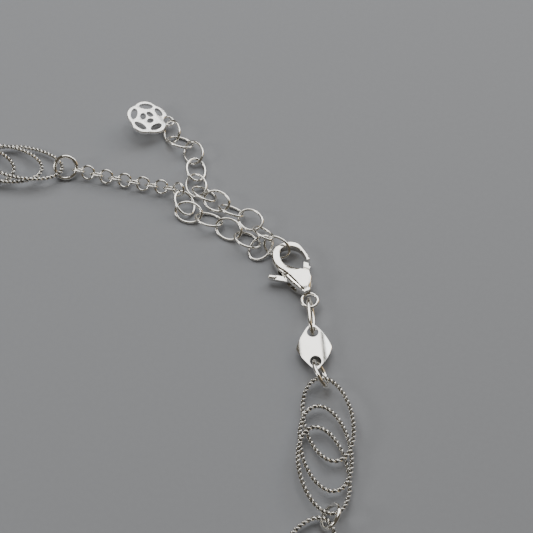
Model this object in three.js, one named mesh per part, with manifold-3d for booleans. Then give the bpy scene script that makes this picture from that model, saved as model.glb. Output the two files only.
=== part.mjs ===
// Link bracelet in polished silver, fastened and lying on a flat surface at z = 0.
// Round the loop: lobster clasp, oval ring, bare tag, oval ring, nine filigree links
// on round jump rings, a rolo chain, and an extension chain. The clasp holds the
// seventh extension link, and the free end carries a pierced flower.
// Millimetres, +Z up. Headings turn from +X towards +Y, in degrees.

import * as THREE from "three";
import { mergeVertices } from "three/addons/utils/BufferGeometryUtils.js";
import Module from "manifold-3d";

// Wire rings: outer length and width, wire thickness, and how finely they are faceted
const JUMP_RING = { length: 3.45, width: 3.45, wire: 0.52, steps: 14, sides: 5 };
const ROLO_RING = { length: 2.05, width: 2.05, wire: 0.32, steps: 12, sides: 5 };
const EXTENSION_RING = { length: 3.9, width: 3.0, wire: 0.36, steps: 14, sides: 5 };
const CLASP_RING = { length: 5.4, width: 2.4, wire: 0.5, steps: 14, sides: 5 };
const TAG_RING = { length: 4.1, width: 3.0, wire: 0.52, steps: 14, sides: 5 };
const RUN_GAP = 0.11;

// Filigree link: three equal ovals of twisted wire, stepped along the link and interlaced
const FILIGREE = { length: 11.3, width: 6.28, wire: 0.6, steps: 24, sides: 5 };
const FILIGREE_OVALS = [
  { along: -3.2, lace: 1 },
  { along: 0.5, lace: 0 },
  { along: 3.2, lace: -1 },
];
const FILIGREE_TURN = 17;
const FILIGREE_LACE = 9;
const FILIGREE_LIFT = 0.34;

// Filigree links that show: the middle of the link and the way its axis points
const FIRST_LINK = { x: 6.85, y: -24.9, heading: -96, turnedOver: false };
const LAST_LINK = { x: -35.55, y: 15.55, heading: 3, turnedOver: true };

// Round the hidden side: the way each link runs, then two more that close the loop
const HIDDEN_RUN = [-126, 188, 150, 138, 118];
const JUMP_RING_ROLL = 59;
const FIRST_RING_ROLL = 54;
const LAST_RING_ROLL = 38;
const JUMP_RING_SLACK = 0.34;

// Rolo chain
const ROLO_COUNT = 12;
const ROLO_ROLL = 45;
const ROLO_START_LIFT = 0.3;
const ROLO_END = { heading: -46, roll: 55, step: 1.12, slack: 0.06 };

// Extension chain: the middle of each link, the way it points, and how it tilts and rests
const EXTENSION = [
  { x: -10.7, y: 9.3, heading: -70, roll: -25, pitch: -12, lift: 0 },
  { x: -10.14, y: 7.91, heading: -20, roll: 24, pitch: 0, lift: 0 },
  { x: -7.45, y: 6.74, heading: -22, roll: -23, pitch: 0, lift: 0 },
  { x: -4.87, y: 5.25, heading: -31, roll: 25, pitch: 0, lift: 0 },
  { x: -2.45, y: 3.56, heading: -33, roll: -23, pitch: 0, lift: 0 },
  { x: -0.75, y: 2.42, heading: 50, roll: 0, pitch: 15, lift: 0 },
  { x: 1.32, y: 2.1, heading: -30, roll: 54, pitch: 0, lift: 0 },
  { x: -0.35, y: 4.05, heading: 122, roll: 38, pitch: -18, lift: 0.42 },
  { x: -2.08, y: 6.4, heading: 138, roll: -16, pitch: -5, lift: 0.6 },
  { x: -4.55, y: 7.95, heading: 152, roll: 38, pitch: 0, lift: 0 },
  { x: -6.51, y: 9.49, heading: 150, roll: -20, pitch: 0, lift: 0.37 },
  { x: -8.14, y: 10.7, heading: 142, roll: 32, pitch: 0, lift: 0 },
  { x: -9.3, y: 12.28, heading: 115, roll: -20, pitch: 0, lift: 0 },
  { x: -9.39, y: 14.79, heading: 88, roll: 26, pitch: 0, lift: 0 },
  { x: -9.81, y: 17.6, heading: 112, roll: -27, pitch: 0, lift: 0 },
  { x: -11.62, y: 19.37, heading: 156, roll: 28, pitch: 0, lift: 0 },
  { x: -12.85, y: 20.95, heading: 108, roll: -40, pitch: 0, lift: 0 },
];

// Flower: a pierced plate with five petals and an eye for the last extension link
const FLOWER = { x: -16.2, y: 22.76, z: 1.76, heading: 2, pitch: -15, thick: 0.5 };
const FLOWER_RADIUS = 2.55;
const FLOWER_LOBE = 0.3;
const FLOWER_PETALS = 5;
const FLOWER_PETAL_ANGLE = 28;
const FLOWER_STEPS = 40;
const FLOWER_EYE = { reach: 2.85, radius: 0.75, wire: 0.34, steps: 14, sides: 6 };
const FLOWER_CUT_STEPS = 10;
const FLOWER_CUTS = [
  { angle: 98, reach: 1.88, across: 0.98, deep: 0.48 },
  { angle: 172, reach: 1.88, across: 0.95, deep: 0.47 },
  { angle: 240, reach: 1.88, across: 0.92, deep: 0.46 },
  { angle: 310, reach: 1.88, across: 0.92, deep: 0.46 },
  { angle: 38, reach: 1.88, across: 0.76, deep: 0.44 },
  { angle: 175, reach: 0.62, across: 0.58, deep: 0.42 },
  { angle: 62, reach: 0.64, across: 0.52, deep: 0.38 },
  { angle: 305, reach: 0.64, across: 0.52, deep: 0.38 },
];

// Lobster clasp: the middle of its eyelet, the turn of its axis, and its thicknesses
const CLASP = { x: 5.35, y: -5.7, turn: 17 };
const CLASP_THICK = 2.1;
const CLASP_BEVEL = 0.15;
const CLASP_CURVE_STEPS = 2;

// Clasp outline: right side of the body, inside of the hook, outside of the hook and left side
const CLASP_RIGHT = [[0.35, 0.9], [0.9, 2.0], [1.25, 3.0], [1.12, 3.85]];
const HOOK_INSIDE = [
  [0.3, 4.3], [-0.75, 5.05], [-1.5, 5.85], [-1.68, 7.1], [-1.1, 8.05],
  [0, 8.05], [0.95, 7.4], [1.3, 6.4], [1.36, 5.4],
];
const CLASP_OUTSIDE = [
  [1.78, 5.4], [1.74, 6.4], [1.2, 8.1], [0.2, 8.8], [-1.1, 8.8], [-2.3, 8.2],
  [-2.75, 6.9], [-2.6, 5.6], [-2.2, 4.3], [-1.55, 2.6], [-0.35, 0.9],
];
const SLOT_OUTLINE = [[-4, 2.2], [-0.9, 1.9], [2.5, 1.9], [2.5, 5.2], [-4, 5.2]];
const CUT_MARGIN = 1;
const EYELET = { outer: 1.2, inner: 0.76, low: 0.9, high: 1.4, sides: 18 };
const HOOK = { low: 0.6, high: 1.66, from: 6.0, to: 9.8, side: 4 };
const SLOT = { low: 0.7, high: 1.4 };
const PIVOT = { x: -0.3, y: 2.9 };
const PIN = { radius: 0.3, low: 0.4, high: 1.7, sides: 12 };
const PIN_PLAY = 0.1;
const LEVER_LOW = 0.82;
const LEVER_HIGH = 1.28;
const LEVER_HUB = { radius: 0.78, sides: 16 };
const GATE_ARM = { inset: 0.2, width: 0.7 };
const GATE = { inner: 1.92, outer: 2.72, from: 36, to: 64, taper: 12, low: 0.4, high: 1.7, steps: 5 };
const THUMB = {
  reach: 3.55, angle: 152, arm: 0.62, length: 1.15, width: 0.62, low: 0.65, high: 1.45, steps: 6,
};

// Tag: a rounded rhombus arched over its long middle line, with a hole at each end
const TAG = { x: 5.75, y: -12.3, heading: -86, lift: 0.64 };
const TAG_HALF = { length: 3.2, width: 2.0 };
const TAG_SQUARENESS = 1.28;
const TAG_STEPS = 28;
const TAG_THICK = 0.4;
const TAG_ARCH = 0.4;
const TAG_ARCH_STEPS = 8;
const TAG_SHEET_SPREAD = 1.1;
const TAG_SHEET_MARGIN = 0.5;
const CLASP_RING_ROLL = -72;
const TAG_RING_ROLL = -60;
const TAG_RING_INSET = 0.05;
const TAG_HOLE = { reach: 2.0, radius: 0.72, sides: 16 };
const TAG_CUT = { low: -1, high: 2 };

const SILVER = { color: 0xd9d7d1, metalness: 1, roughness: 0.16 };
const TWIST_SILVER = { color: 0xcfccc4, metalness: 1, roughness: 0.24 };
const CAST_SILVER = { color: 0xe2e1dd, metalness: 1, roughness: 0.3 };

const MERGE_DISTANCE = 1e-5;

const wasm = await Module();
wasm.setup();

const radians = THREE.MathUtils.degToRad;

// Helpers for headings and solids

function towards(heading, distance = 1) {
  const angle = radians(heading);
  return new THREE.Vector2(Math.cos(angle) * distance, Math.sin(angle) * distance);
}

function headingOf(step) {
  return THREE.MathUtils.radToDeg(step.angle());
}

function toSolid(geometry) {
  const bare = geometry.clone();
  bare.deleteAttribute("normal");
  bare.deleteAttribute("uv");
  const merged = mergeVertices(bare, MERGE_DISTANCE);
  const vertProperties = new Float32Array(merged.attributes.position.array);
  const triVerts = new Uint32Array(merged.index.array);
  return new wasm.Manifold(new wasm.Mesh({ numProp: 3, vertProperties, triVerts }));
}

function toGeometry(solid) {
  const { vertProperties, triVerts } = solid.getMesh();
  const geometry = new THREE.BufferGeometry();
  geometry.setAttribute("position", new THREE.BufferAttribute(vertProperties, 3));
  geometry.setIndex(new THREE.BufferAttribute(triVerts, 1));
  geometry.computeVertexNormals();
  return geometry;
}

function join(geometries) {
  return geometries.map(toSolid).reduce((whole, next) => whole.add(next));
}

function mesh(name, geometry, finish) {
  const piece = new THREE.Mesh(geometry, new THREE.MeshStandardMaterial(finish));
  piece.name = name;
  return piece;
}

// Wire rings

class OvalCurve extends THREE.Curve {
  constructor(ring) {
    super();
    this.halfLength = (ring.length - ring.wire) / 2;
    this.halfWidth = (ring.width - ring.wire) / 2;
  }

  getPoint(t, target = new THREE.Vector3()) {
    const angle = 2 * Math.PI * t;
    return target.set(this.halfLength * Math.cos(angle), this.halfWidth * Math.sin(angle), 0);
  }
}

function wireOval(ring) {
  return new THREE.TubeGeometry(new OvalCurve(ring), ring.steps, ring.wire / 2, ring.sides, true);
}

// Distance from the middle of a ring to the middle of its wire at the end of its long axis
function reachOf(ring) {
  return (ring.length - ring.wire) / 2;
}

// How far the wires of two linked rings sit apart, middle to middle, when drawn tight
function seatOf(ring, other) {
  return (ring.wire + other.wire) / 2 + RUN_GAP;
}

// Height at which a tilted ring just touches the surface
function restHeight(ring, { roll = 0, pitch = 0 }) {
  const endRise = reachOf(ring) * Math.sin(radians(pitch));
  const sideRise = ((ring.width - ring.wire) / 2) * Math.sin(radians(roll)) * Math.cos(radians(pitch));
  return ring.wire / 2 + Math.hypot(endRise, sideRise);
}

function lay(piece, { x, y, heading = 0, roll = 0, pitch = 0 }, z) {
  piece.position.set(x, y, z);
  piece.rotation.set(radians(roll), radians(-pitch), radians(heading), "ZYX");
  return piece;
}

function laidRing(name, ring, pose) {
  const height = restHeight(ring, pose) + (pose.lift ?? 0);
  return lay(mesh(name, wireOval(ring), SILVER), pose, height);
}

// Filigree links

function filigreeGeometry() {
  const ovals = FILIGREE_OVALS.map(({ along, lace }) => {
    const oval = wireOval(FILIGREE);
    oval.rotateX(radians(lace * FILIGREE_LACE));
    oval.rotateZ(radians(FILIGREE_TURN));
    return oval.translate(along, 0, 0);
  });
  return toGeometry(join(ovals));
}

// Where the end of a link's wire lies from the middle of the link
function filigreeTip() {
  const half = reachOf(FILIGREE);
  const narrow = (FILIGREE.width - FILIGREE.wire) / 2;
  const turn = radians(FILIGREE_TURN);
  const along = Math.hypot(half * Math.cos(turn), narrow * Math.sin(turn));
  const aside = ((half ** 2 - narrow ** 2) * Math.sin(turn) * Math.cos(turn)) / along;
  return new THREE.Vector2(FILIGREE_OVALS[2].along + along, aside);
}

const tip = filigreeTip();
const tipAngle = headingOf(tip);
const filigreeHeight = FILIGREE_LIFT + FILIGREE.wire / 2
  + ((FILIGREE.width - FILIGREE.wire) / 2) * Math.sin(radians(FILIGREE_LACE));
const ringReach = reachOf(JUMP_RING) - seatOf(JUMP_RING, FILIGREE) - JUMP_RING_SLACK;

// From the middle of one jump ring to the middle of the next, along a link's two ends
const linkPitch = 2 * (tip.length() + ringReach);

// The line through both ends of a link, seen from above
function runOf(link) {
  return link.heading + (link.turnedOver ? -tipAngle : tipAngle);
}

function ringAfter(link) {
  return new THREE.Vector2(link.x, link.y).add(towards(runOf(link), linkPitch / 2));
}

function ringBefore(link) {
  return new THREE.Vector2(link.x, link.y).sub(towards(runOf(link), linkPitch / 2));
}

function linkFrom(ringMiddle, run) {
  const middle = ringMiddle.clone().add(towards(run, linkPitch / 2));
  return { x: middle.x, y: middle.y, heading: run - tipAngle, turnedOver: false };
}

// Two equal links that reach from one ring to another, bowed to the left of the way there
function closingRuns(from, to) {
  const step = to.clone().sub(from);
  const bow = THREE.MathUtils.radToDeg(Math.acos(step.length() / 2 / linkPitch));
  return [headingOf(step) + bow, headingOf(step) - bow];
}

function filigreeRun() {
  const links = [FIRST_LINK];
  let ringMiddle = ringAfter(FIRST_LINK);
  const addLink = (run) => {
    const link = linkFrom(ringMiddle, run);
    links.push(link);
    ringMiddle = ringAfter(link);
  };
  HIDDEN_RUN.forEach(addLink);
  closingRuns(ringMiddle, ringBefore(LAST_LINK)).forEach(addLink);
  links.push(LAST_LINK);
  return links;
}

function filigreePieces(links) {
  const geometry = filigreeGeometry();
  return links.map((link, index) => {
    const piece = mesh(`filigree_link_${index + 1}`, geometry, TWIST_SILVER);
    const roll = link.turnedOver ? 180 : 0;
    return lay(piece, { x: link.x, y: link.y, heading: link.heading, roll }, filigreeHeight);
  });
}

function jumpRingPieces(links) {
  return links.map((link, index) => {
    const middle = ringAfter(link);
    const next = links[index + 1];
    const run = towards(runOf(link));
    const heading = headingOf(next ? run.add(towards(runOf(next))) : run);
    const innerRoll = index === 0 ? FIRST_RING_ROLL : JUMP_RING_ROLL;
    const roll = next ? innerRoll : LAST_RING_ROLL;
    const pose = { x: middle.x, y: middle.y, heading, roll };
    return laidRing(`jump_ring_${index + 1}`, JUMP_RING, pose);
  });
}

// Rolo chain, from the last jump ring to the end of the first extension link

function roloPieces() {
  const ring = ringAfter(LAST_LINK);
  const first = EXTENSION[0];
  const endReach = reachOf(EXTENSION_RING);
  const end = new THREE.Vector2(first.x, first.y)
    .sub(towards(first.heading, endReach * Math.cos(radians(first.pitch))));
  const endHeight = restHeight(EXTENSION_RING, first) - endReach * Math.sin(radians(first.pitch));
  const seat = reachOf(ROLO_RING) - seatOf(ROLO_RING, EXTENSION_RING) - ROLO_END.slack;
  const stop = end.clone().sub(towards(ROLO_END.heading, seat));
  const heading = headingOf(stop.clone().sub(ring));
  const startReach = reachOf(JUMP_RING) + reachOf(ROLO_RING) - seatOf(JUMP_RING, ROLO_RING);
  const start = ring.clone().add(towards(heading, startReach));
  const straightEnd = stop.clone().sub(towards(heading, ROLO_END.step));
  const endLift = endHeight - restHeight(ROLO_RING, ROLO_END);
  const poses = Array.from({ length: ROLO_COUNT - 1 }, (_, index) => {
    const part = index / (ROLO_COUNT - 2);
    const middle = start.clone().lerp(straightEnd, part);
    const lift = ROLO_START_LIFT * (1 - part) ** 3 + endLift * part ** 3;
    return { x: middle.x, y: middle.y, heading, roll: index % 2 ? ROLO_ROLL : -ROLO_ROLL, lift };
  });
  poses.push({ x: stop.x, y: stop.y, ...ROLO_END, lift: endLift });
  return poses.map((pose, index) => laidRing(`rolo_link_${index + 1}`, ROLO_RING, pose));
}

function extensionPieces() {
  return EXTENSION.map((pose, index) => laidRing(`extension_link_${index + 1}`, EXTENSION_RING, pose));
}

// Flower

function flowerOutline() {
  const points = Array.from({ length: FLOWER_STEPS }, (_, index) => {
    const angle = (360 * index) / FLOWER_STEPS;
    const swell = Math.abs(Math.cos(radians((FLOWER_PETALS / 2) * (angle - FLOWER_PETAL_ANGLE))));
    return towards(angle, FLOWER_RADIUS + FLOWER_LOBE * swell);
  });
  return new THREE.Shape(points);
}

function flowerCut({ angle, reach, across, deep }) {
  const middle = towards(angle, reach);
  const cut = new THREE.Path();
  cut.absellipse(middle.x, middle.y, deep, across, 0, 2 * Math.PI, true, radians(angle));
  return new THREE.Path(cut.getPoints(FLOWER_CUT_STEPS).slice(1));
}

function flowerPiece() {
  const outline = flowerOutline();
  outline.holes = FLOWER_CUTS.map(flowerCut);
  const plate = new THREE.ExtrudeGeometry(outline, { depth: FLOWER.thick, bevelEnabled: false });
  plate.translate(0, 0, -FLOWER.thick / 2);
  const eye = new THREE.TorusGeometry(
    FLOWER_EYE.radius, FLOWER_EYE.wire / 2, FLOWER_EYE.sides, FLOWER_EYE.steps,
  );
  eye.translate(FLOWER_EYE.reach, 0, 0);
  const bore = new THREE.CylinderGeometry(
    FLOWER_EYE.radius, FLOWER_EYE.radius, 2 * FLOWER.thick, FLOWER_EYE.steps,
  );
  bore.rotateX(Math.PI / 2);
  bore.translate(FLOWER_EYE.reach, 0, 0);
  const solid = toSolid(plate).subtract(toSolid(bore)).add(toSolid(eye));
  const piece = mesh("flower_charm", toGeometry(solid), CAST_SILVER);
  return lay(piece, FLOWER, FLOWER.z);
}

// Lobster clasp, drawn with its eyelet at the origin and its hook towards +Y

function pointsOf(pairs) {
  return pairs.map(([x, y]) => new THREE.Vector2(x, y));
}

// Adds a straight step to the first point, then a smooth line through the rest
function drawThrough(shape, pairs) {
  const [first, ...others] = pointsOf(pairs);
  shape.lineTo(first.x, first.y);
  shape.splineThru(others);
}

function claspOutline() {
  const shape = new THREE.Shape();
  const [first, ...others] = pointsOf(CLASP_RIGHT);
  shape.moveTo(first.x, first.y);
  shape.splineThru(others);
  drawThrough(shape, HOOK_INSIDE);
  drawThrough(shape, CLASP_OUTSIDE);
  return shape;
}

function slab(shape, low, high, curveSegments = 4) {
  const depth = high - low;
  const geometry = new THREE.ExtrudeGeometry(shape, { depth, bevelEnabled: false, curveSegments });
  return geometry.translate(0, 0, low);
}

function upright(radius, low, high, sides, x = 0, y = 0) {
  const geometry = new THREE.CylinderGeometry(radius, radius, high - low, sides);
  geometry.rotateX(Math.PI / 2);
  return geometry.translate(x, y, (low + high) / 2);
}

function claspBody() {
  const bevel = CLASP_BEVEL;
  const plate = new THREE.ExtrudeGeometry(claspOutline(), {
    depth: CLASP_THICK - 2 * bevel,
    bevelThickness: bevel,
    bevelSize: bevel,
    bevelOffset: -bevel,
    bevelSegments: 1,
    curveSegments: CLASP_CURVE_STEPS,
  });
  plate.translate(0, 0, bevel);
  const slot = new THREE.Shape(pointsOf(SLOT_OUTLINE));
  const hookSide = new THREE.Shape([
    new THREE.Vector2(-HOOK.side, HOOK.from),
    new THREE.Vector2(HOOK.side, HOOK.from),
    new THREE.Vector2(HOOK.side, HOOK.to),
    new THREE.Vector2(-HOOK.side, HOOK.to),
  ]);
  const pocket = PIN.radius + PIN_PLAY;
  const top = CLASP_THICK + CUT_MARGIN;
  const solid = toSolid(plate)
    .subtract(toSolid(slab(hookSide, -CUT_MARGIN, HOOK.low)))
    .subtract(toSolid(slab(hookSide, HOOK.high, top)))
    .add(toSolid(upright(EYELET.outer, EYELET.low, EYELET.high, EYELET.sides)))
    .subtract(toSolid(upright(EYELET.inner, -CUT_MARGIN, top, EYELET.sides)))
    .subtract(toSolid(slab(slot, SLOT.low, SLOT.high)))
    .subtract(toSolid(upright(
      pocket, PIN.low - PIN_PLAY, PIN.high + PIN_PLAY, PIN.sides, PIVOT.x, PIVOT.y,
    )));
  return mesh("clasp_body", toGeometry(solid), SILVER);
}

function leverArm(angle, inner, outer, width) {
  const shape = new THREE.Shape([
    new THREE.Vector2(inner, -width / 2),
    new THREE.Vector2(outer, -width / 2),
    new THREE.Vector2(outer, width / 2),
    new THREE.Vector2(inner, width / 2),
  ]);
  return slab(shape, LEVER_LOW, LEVER_HIGH).rotateZ(radians(angle));
}

function gateBlock() {
  const shape = new THREE.Shape();
  shape.absarc(0, 0, GATE.inner, radians(GATE.to), radians(GATE.from), true);
  shape.absarc(0, 0, GATE.outer, radians(GATE.from + GATE.taper), radians(GATE.to), false);
  shape.closePath();
  return slab(shape, GATE.low, GATE.high, GATE.steps);
}

function thumbTab() {
  const half = THUMB.width / 2;
  const straight = THUMB.length / 2 - half;
  const shape = new THREE.Shape();
  shape.absarc(THUMB.reach + straight, 0, half, -Math.PI / 2, Math.PI / 2, false);
  shape.absarc(THUMB.reach - straight, 0, half, Math.PI / 2, (3 * Math.PI) / 2, false);
  shape.closePath();
  return slab(shape, THUMB.low, THUMB.high, THUMB.steps).rotateZ(radians(THUMB.angle));
}

function claspLever() {
  const gateAngle = (GATE.from + GATE.to) / 2;
  const solid = join([
    upright(LEVER_HUB.radius, LEVER_LOW, LEVER_HIGH, LEVER_HUB.sides),
    leverArm(gateAngle, 0, GATE.outer - GATE_ARM.inset, GATE_ARM.width),
    leverArm(THUMB.angle, 0, THUMB.reach, THUMB.arm),
    gateBlock(),
    thumbTab(),
  ]).subtract(toSolid(upright(PIN.radius + PIN_PLAY, 0, CLASP_THICK, PIN.sides)));
  const piece = mesh("clasp_lever", toGeometry(solid), SILVER);
  piece.position.set(PIVOT.x, PIVOT.y, 0);
  return piece;
}

function claspPin() {
  return mesh("clasp_pin", upright(PIN.radius, PIN.low, PIN.high, PIN.sides, PIVOT.x, PIVOT.y), SILVER);
}

function clasp() {
  const group = new THREE.Group();
  group.add(claspBody(), claspLever(), claspPin());
  group.position.set(CLASP.x, CLASP.y, 0);
  group.rotation.z = radians(CLASP.turn);
  return group;
}

// Tag and its two rings

function tagOutline() {
  const bend = 2 / TAG_SQUARENESS;
  const rounded = (value, half) => half * Math.sign(value) * Math.abs(value) ** bend;
  const points = Array.from({ length: TAG_STEPS }, (_, index) => {
    const round = towards((360 * (index + 0.5)) / TAG_STEPS);
    return new THREE.Vector2(rounded(round.x, TAG_HALF.length), rounded(round.y, TAG_HALF.width));
  });
  return new THREE.Shape(points);
}

// Arched sheet: a band between two arcs, drawn across the tag and drawn out along it
function tagSheet() {
  const { length, width } = TAG_HALF;
  const radius = (width ** 2 + TAG_ARCH ** 2) / (2 * TAG_ARCH);
  const spread = Math.asin(width / radius) * TAG_SHEET_SPREAD;
  const middle = Math.PI / 2;
  const band = new THREE.Shape();
  band.absarc(0, TAG_ARCH - radius, radius, middle - spread, middle + spread, false);
  band.absarc(0, TAG_ARCH - radius, radius + TAG_THICK, middle + spread, middle - spread, true);
  band.closePath();
  const sheet = new THREE.ExtrudeGeometry(band, {
    depth: 2 * (length + TAG_SHEET_MARGIN), bevelEnabled: false, curveSegments: TAG_ARCH_STEPS,
  });
  sheet.translate(0, 0, -length - TAG_SHEET_MARGIN);
  sheet.rotateX(Math.PI / 2);
  return sheet.rotateZ(Math.PI / 2);
}

function tagHole(reach) {
  return upright(TAG_HOLE.radius, TAG_CUT.low, TAG_CUT.high, TAG_HOLE.sides, reach);
}

function tagPiece() {
  let solid = toSolid(tagSheet()).intersect(toSolid(slab(tagOutline(), TAG_CUT.low, TAG_CUT.high)));
  for (const reach of [-TAG_HOLE.reach, TAG_HOLE.reach]) {
    solid = solid.subtract(toSolid(tagHole(reach)));
  }
  const piece = mesh("tag", toGeometry(solid), SILVER);
  return lay(piece, TAG, TAG.lift);
}

function tagRingPieces() {
  const eyelet = new THREE.Vector2(CLASP.x, CLASP.y);
  const tagMiddle = new THREE.Vector2(TAG.x, TAG.y);
  const firstHole = tagMiddle.clone().sub(towards(TAG.heading, TAG_HOLE.reach));
  const lastHole = tagMiddle.clone().add(towards(TAG.heading, TAG_HOLE.reach));
  const linkEnd = ringBefore(FIRST_LINK).add(towards(runOf(FIRST_LINK), ringReach));
  const clasped = firstHole.clone().sub(eyelet);
  const claspMiddle = eyelet.clone().lerp(firstHole, 0.5);
  const linked = linkEnd.clone().sub(lastHole);
  const linkMiddle = lastHole.clone().add(linked.clone().setLength(reachOf(TAG_RING) + TAG_RING_INSET));
  return [
    laidRing("clasp_ring", CLASP_RING, {
      x: claspMiddle.x, y: claspMiddle.y, heading: headingOf(clasped), roll: CLASP_RING_ROLL,
    }),
    laidRing("tag_ring", TAG_RING, {
      x: linkMiddle.x, y: linkMiddle.y, heading: headingOf(linked), roll: TAG_RING_ROLL,
    }),
  ];
}

// The whole bracelet, with its origin under the middle of its box

const filigreeLinks = filigreeRun();
const bracelet = new THREE.Group();
bracelet.add(
  ...filigreePieces(filigreeLinks),
  ...jumpRingPieces(filigreeLinks),
  ...roloPieces(),
  ...extensionPieces(),
  flowerPiece(),
  clasp(),
  tagPiece(),
  ...tagRingPieces(),
);
const box = new THREE.Box3().setFromObject(bracelet, true);
bracelet.position.set(-(box.min.x + box.max.x) / 2, -(box.min.y + box.max.y) / 2, -box.min.z);

export default bracelet;
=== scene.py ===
"""Dresses the silver link bracelet: smooth rings, twisted filigree, cast clasp, tag and flower."""
import itertools
import logging
import math
from collections.abc import Callable, Sequence
from dataclasses import dataclass
from enum import Enum

import bpy
import numpy as np
from mathutils import Matrix, Vector


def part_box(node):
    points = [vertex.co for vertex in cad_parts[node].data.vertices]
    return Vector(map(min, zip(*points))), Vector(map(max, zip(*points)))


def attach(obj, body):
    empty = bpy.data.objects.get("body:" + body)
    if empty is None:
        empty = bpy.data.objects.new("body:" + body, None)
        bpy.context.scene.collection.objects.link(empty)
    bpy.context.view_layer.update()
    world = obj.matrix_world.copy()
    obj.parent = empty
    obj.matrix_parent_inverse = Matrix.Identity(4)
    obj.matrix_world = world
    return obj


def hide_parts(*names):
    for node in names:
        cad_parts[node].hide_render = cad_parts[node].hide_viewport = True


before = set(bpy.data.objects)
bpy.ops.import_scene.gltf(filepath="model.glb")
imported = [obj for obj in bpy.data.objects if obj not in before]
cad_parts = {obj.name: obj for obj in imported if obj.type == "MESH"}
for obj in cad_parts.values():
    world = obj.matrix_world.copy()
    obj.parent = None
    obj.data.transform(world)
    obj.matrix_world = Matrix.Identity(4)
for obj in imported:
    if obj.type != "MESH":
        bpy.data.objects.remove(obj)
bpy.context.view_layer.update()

LOG = logging.getLogger("bracelet")
MILLIMETRES = 1000
METRES = Matrix.Scale(1 / MILLIMETRES, 4)
GROOVE = "groove"
GROOVE_ROUGHNESS = 0.2
QUARTERS = 4
BEVEL_ANGLE = 50
FILIGREE_LINKS = 9
ROLO_LINKS = 12
EXTENSION_LINKS = 17
Point = tuple[float, float]


class Slot(Enum):
    """Material slots of the record."""

    POLISHED = "polished_silver"
    TWISTED = "twisted_silver"
    CAST = "cast_silver"


class Body(Enum):
    """Moving bodies of the frame."""

    BRACELET = "bracelet"
    LEVER = "lever"


class Value:
    """A shader value that turns Python arithmetic into Math nodes."""

    def __init__(self, desk: "ShaderDesk", socket: bpy.types.NodeSocket) -> None:
        """Wraps one output socket.

        Args:
            desk: the material that the socket belongs to.
            socket: the output that carries the value.
        """
        self.desk = desk
        self.socket = socket

    def _math(self, operation: str, first: object, second: object) -> "Value":
        """Adds one Math node.

        Args:
            operation: the node's operation.
            first: the value or number on the left.
            second: the value or number on the right.

        Returns:
            The node's result.
        """
        settings = {"operation": operation}
        return self.desk.value("ShaderNodeMath", settings, {0: first, 1: second})

    def __add__(self, other: object) -> "Value":
        """Sum."""
        return self._math("ADD", self, other)

    def __radd__(self, other: object) -> "Value":
        """Sum with a number on the left."""
        return self._math("ADD", other, self)

    def __mul__(self, other: object) -> "Value":
        """Product."""
        return self._math("MULTIPLY", self, other)

    def __rmul__(self, other: object) -> "Value":
        """Product with a number on the left."""
        return self._math("MULTIPLY", other, self)


class ShaderDesk:
    """One material and the nodes that are laid out in it."""

    def __init__(self, name: str) -> None:
        """Starts a material with a plain Principled shader.

        Args:
            name: the material's name.
        """
        self.material = bpy.data.materials.new(name)
        self.material.use_nodes = True
        self.tree = self.material.node_tree
        self.shader = self.tree.nodes["Principled BSDF"]

    def node(self, kind: str, settings: dict, sockets: dict) -> bpy.types.Node:
        """Adds a node.

        Args:
            kind: the node's type.
            settings: properties that are set before its sockets.
            sockets: values, or links, of its inputs by name or number.

        Returns:
            The new node.
        """
        node = self.tree.nodes.new(kind)
        for key, setting in settings.items():
            setattr(node, key, setting)
        for key, value in sockets.items():
            self.feed(node.inputs[key], value)
        return node

    def value(self, kind: str, settings: dict, sockets: dict, output: int | str = 0) -> Value:
        """Adds a node and wraps one of its outputs.

        Args:
            kind: the node's type.
            settings: properties that are set before its sockets.
            sockets: values, or links, of its inputs by name or number.
            output: the output that is wrapped.

        Returns:
            The wrapped output.
        """
        return Value(self, self.node(kind, settings, sockets).outputs[output])

    def feed(self, socket: bpy.types.NodeSocket, value: object) -> None:
        """Links a wrapped value to an input, or sets the input to a constant.

        Args:
            socket: the input.
            value: a wrapped value, a number or a colour.
        """
        if isinstance(value, Value):
            self.tree.links.new(value.socket, socket)
        else:
            socket.default_value = value

    def noise(self, feature: float, detail: float) -> Value:
        """Noise over the piece.

        Args:
            feature: size of its spots in millimetres.
            detail: how many finer layers it has.

        Returns:
            The noise, from 0 to 1.
        """
        place = self.value("ShaderNodeTexCoord", {}, {}, "Object")
        sockets = {"Vector": place, "Scale": MILLIMETRES / feature, "Detail": detail}
        return self.value("ShaderNodeTexNoise", {}, sockets, "Fac")

    def blend(self, amount: Value, first: Sequence[float], second: Sequence[float]) -> Value:
        """Mixes two colours.

        Args:
            amount: 0 for the first colour and 1 for the second.
            first: a colour with alpha.
            second: a colour with alpha.

        Returns:
            The mixed colour.
        """
        settings = {"data_type": "RGBA"}
        return self.value("ShaderNodeMix", settings, {0: amount, 6: first, 7: second}, 2)


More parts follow.
